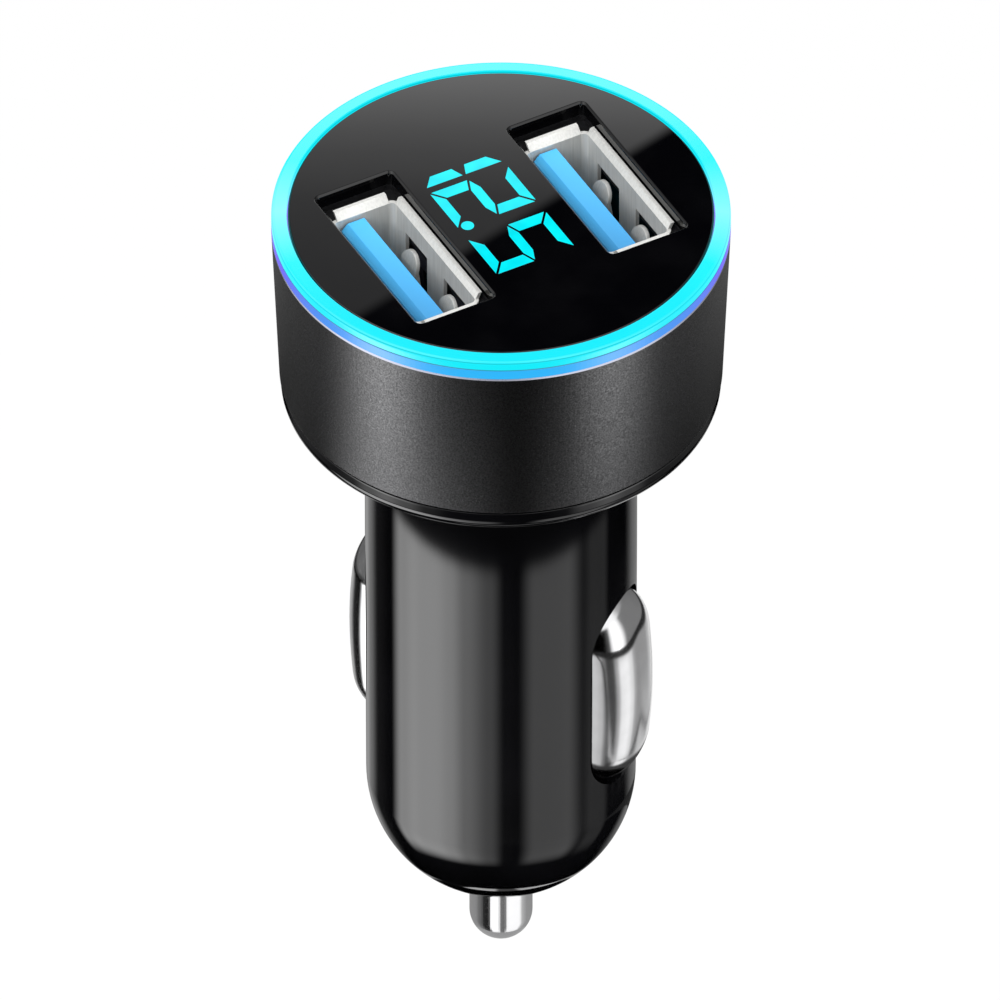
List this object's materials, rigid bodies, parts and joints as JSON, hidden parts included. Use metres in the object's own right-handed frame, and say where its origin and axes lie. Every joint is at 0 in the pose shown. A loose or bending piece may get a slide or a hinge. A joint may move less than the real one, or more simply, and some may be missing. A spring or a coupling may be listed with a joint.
{
  "type": "car usb charger plug",
  "caption": "Socket plug charger for a car: round head with USB-A ports, a lit voltage display and a light ring, on a barrel with a sprung tip and sprung side contacts.",
  "frame": {"origin": "on the axis at the shoulder, where the barrel leaves the flat underside of the head's flange", "axes": "+Z along the axis to the face, +X from the left port to the right port, +Y across the face"},
  "size_m": [0.0338, 0.0338, 0.0711],
  "materials": {
    "barrel_black": "polished moulding",
    "sleeve_anodised": "blasted and anodised dark grey, bright turned top edge",
    "ring_lit": "translucent, lit from below",
    "panel_black": "mirror gloss",
    "holder_black": "satin moulding",
    "display_grey": "satin",
    "digits_lit": "lit windows",
    "port_steel": "nickel plated sheet",
    "tongue_blue": "moulded",
    "gilt": "gold plated",
    "board_green": "glass-epoxy laminate",
    "lamp_white": "moulded",
    "ferrite": "ferrite core with a copper winding",
    "capacitor_can": "sleeved can",
    "chip_black": "moulded epoxy",
    "cup_brass": "turned",
    "spring_steel": "drawn wire and strip",
    "contact_nickel": "satin nickel plate"
  },
  "bodies": {
    "housing": {"barrel": "barrel_black", "head_sleeve": "sleeve_anodised", "light_ring": "ring_lit", "face_panel": "panel_black", "port_holder": "holder_black", "display_module": "display_grey", "display_digits": "digits_lit", "left_port_shell": "port_steel", "right_port_shell": "port_steel", "left_port_tongue": "tongue_blue", "right_port_tongue": "tongue_blue", "left_port_contacts": "gilt", "right_port_contacts": "gilt", "port_board": "board_green", "ring_lamps": "lamp_white", "main_board": "board_green", "header_pins": "gilt", "choke": "ferrite", "input_capacitor": "capacitor_can", "output_capacitor": "capacitor_can", "regulator_chip": "chip_black", "rectifier_diode": "chip_black", "chip_resistors": "chip_black", "spring_cup": "cup_brass", "tip_spring": "spring_steel", "left_ground_spring": "spring_steel", "right_ground_spring": "spring_steel"},
    "tip": {"centre_contact": "contact_nickel"},
    "left_ground": {"left_ground_contact": "contact_nickel"},
    "right_ground": {"right_ground_contact": "contact_nickel"}
  },
  "joints": [
    {"name": "tip_press", "type": "slide", "parent": "housing", "child": "tip", "axis": [0, 0, 1], "range_m": [0, 0.003], "stiffness_N_per_m": 800, "springref_m": -0.002, "deforming": ["tip_spring"]},
    {"name": "left_ground_press", "type": "slide", "parent": "housing", "child": "left_ground", "axis": [0.5764, -0.8171, 0], "range_m": [0, 0.0016], "stiffness_N_per_m": 1000, "springref_m": -0.001, "deforming": ["left_ground_spring"]},
    {"name": "right_ground_press", "type": "slide", "parent": "housing", "child": "right_ground", "axis": [-0.5764, 0.8171, 0], "range_m": [0, 0.0016], "stiffness_N_per_m": 1000, "springref_m": -0.001, "deforming": ["right_ground_spring"]}
  ]
}
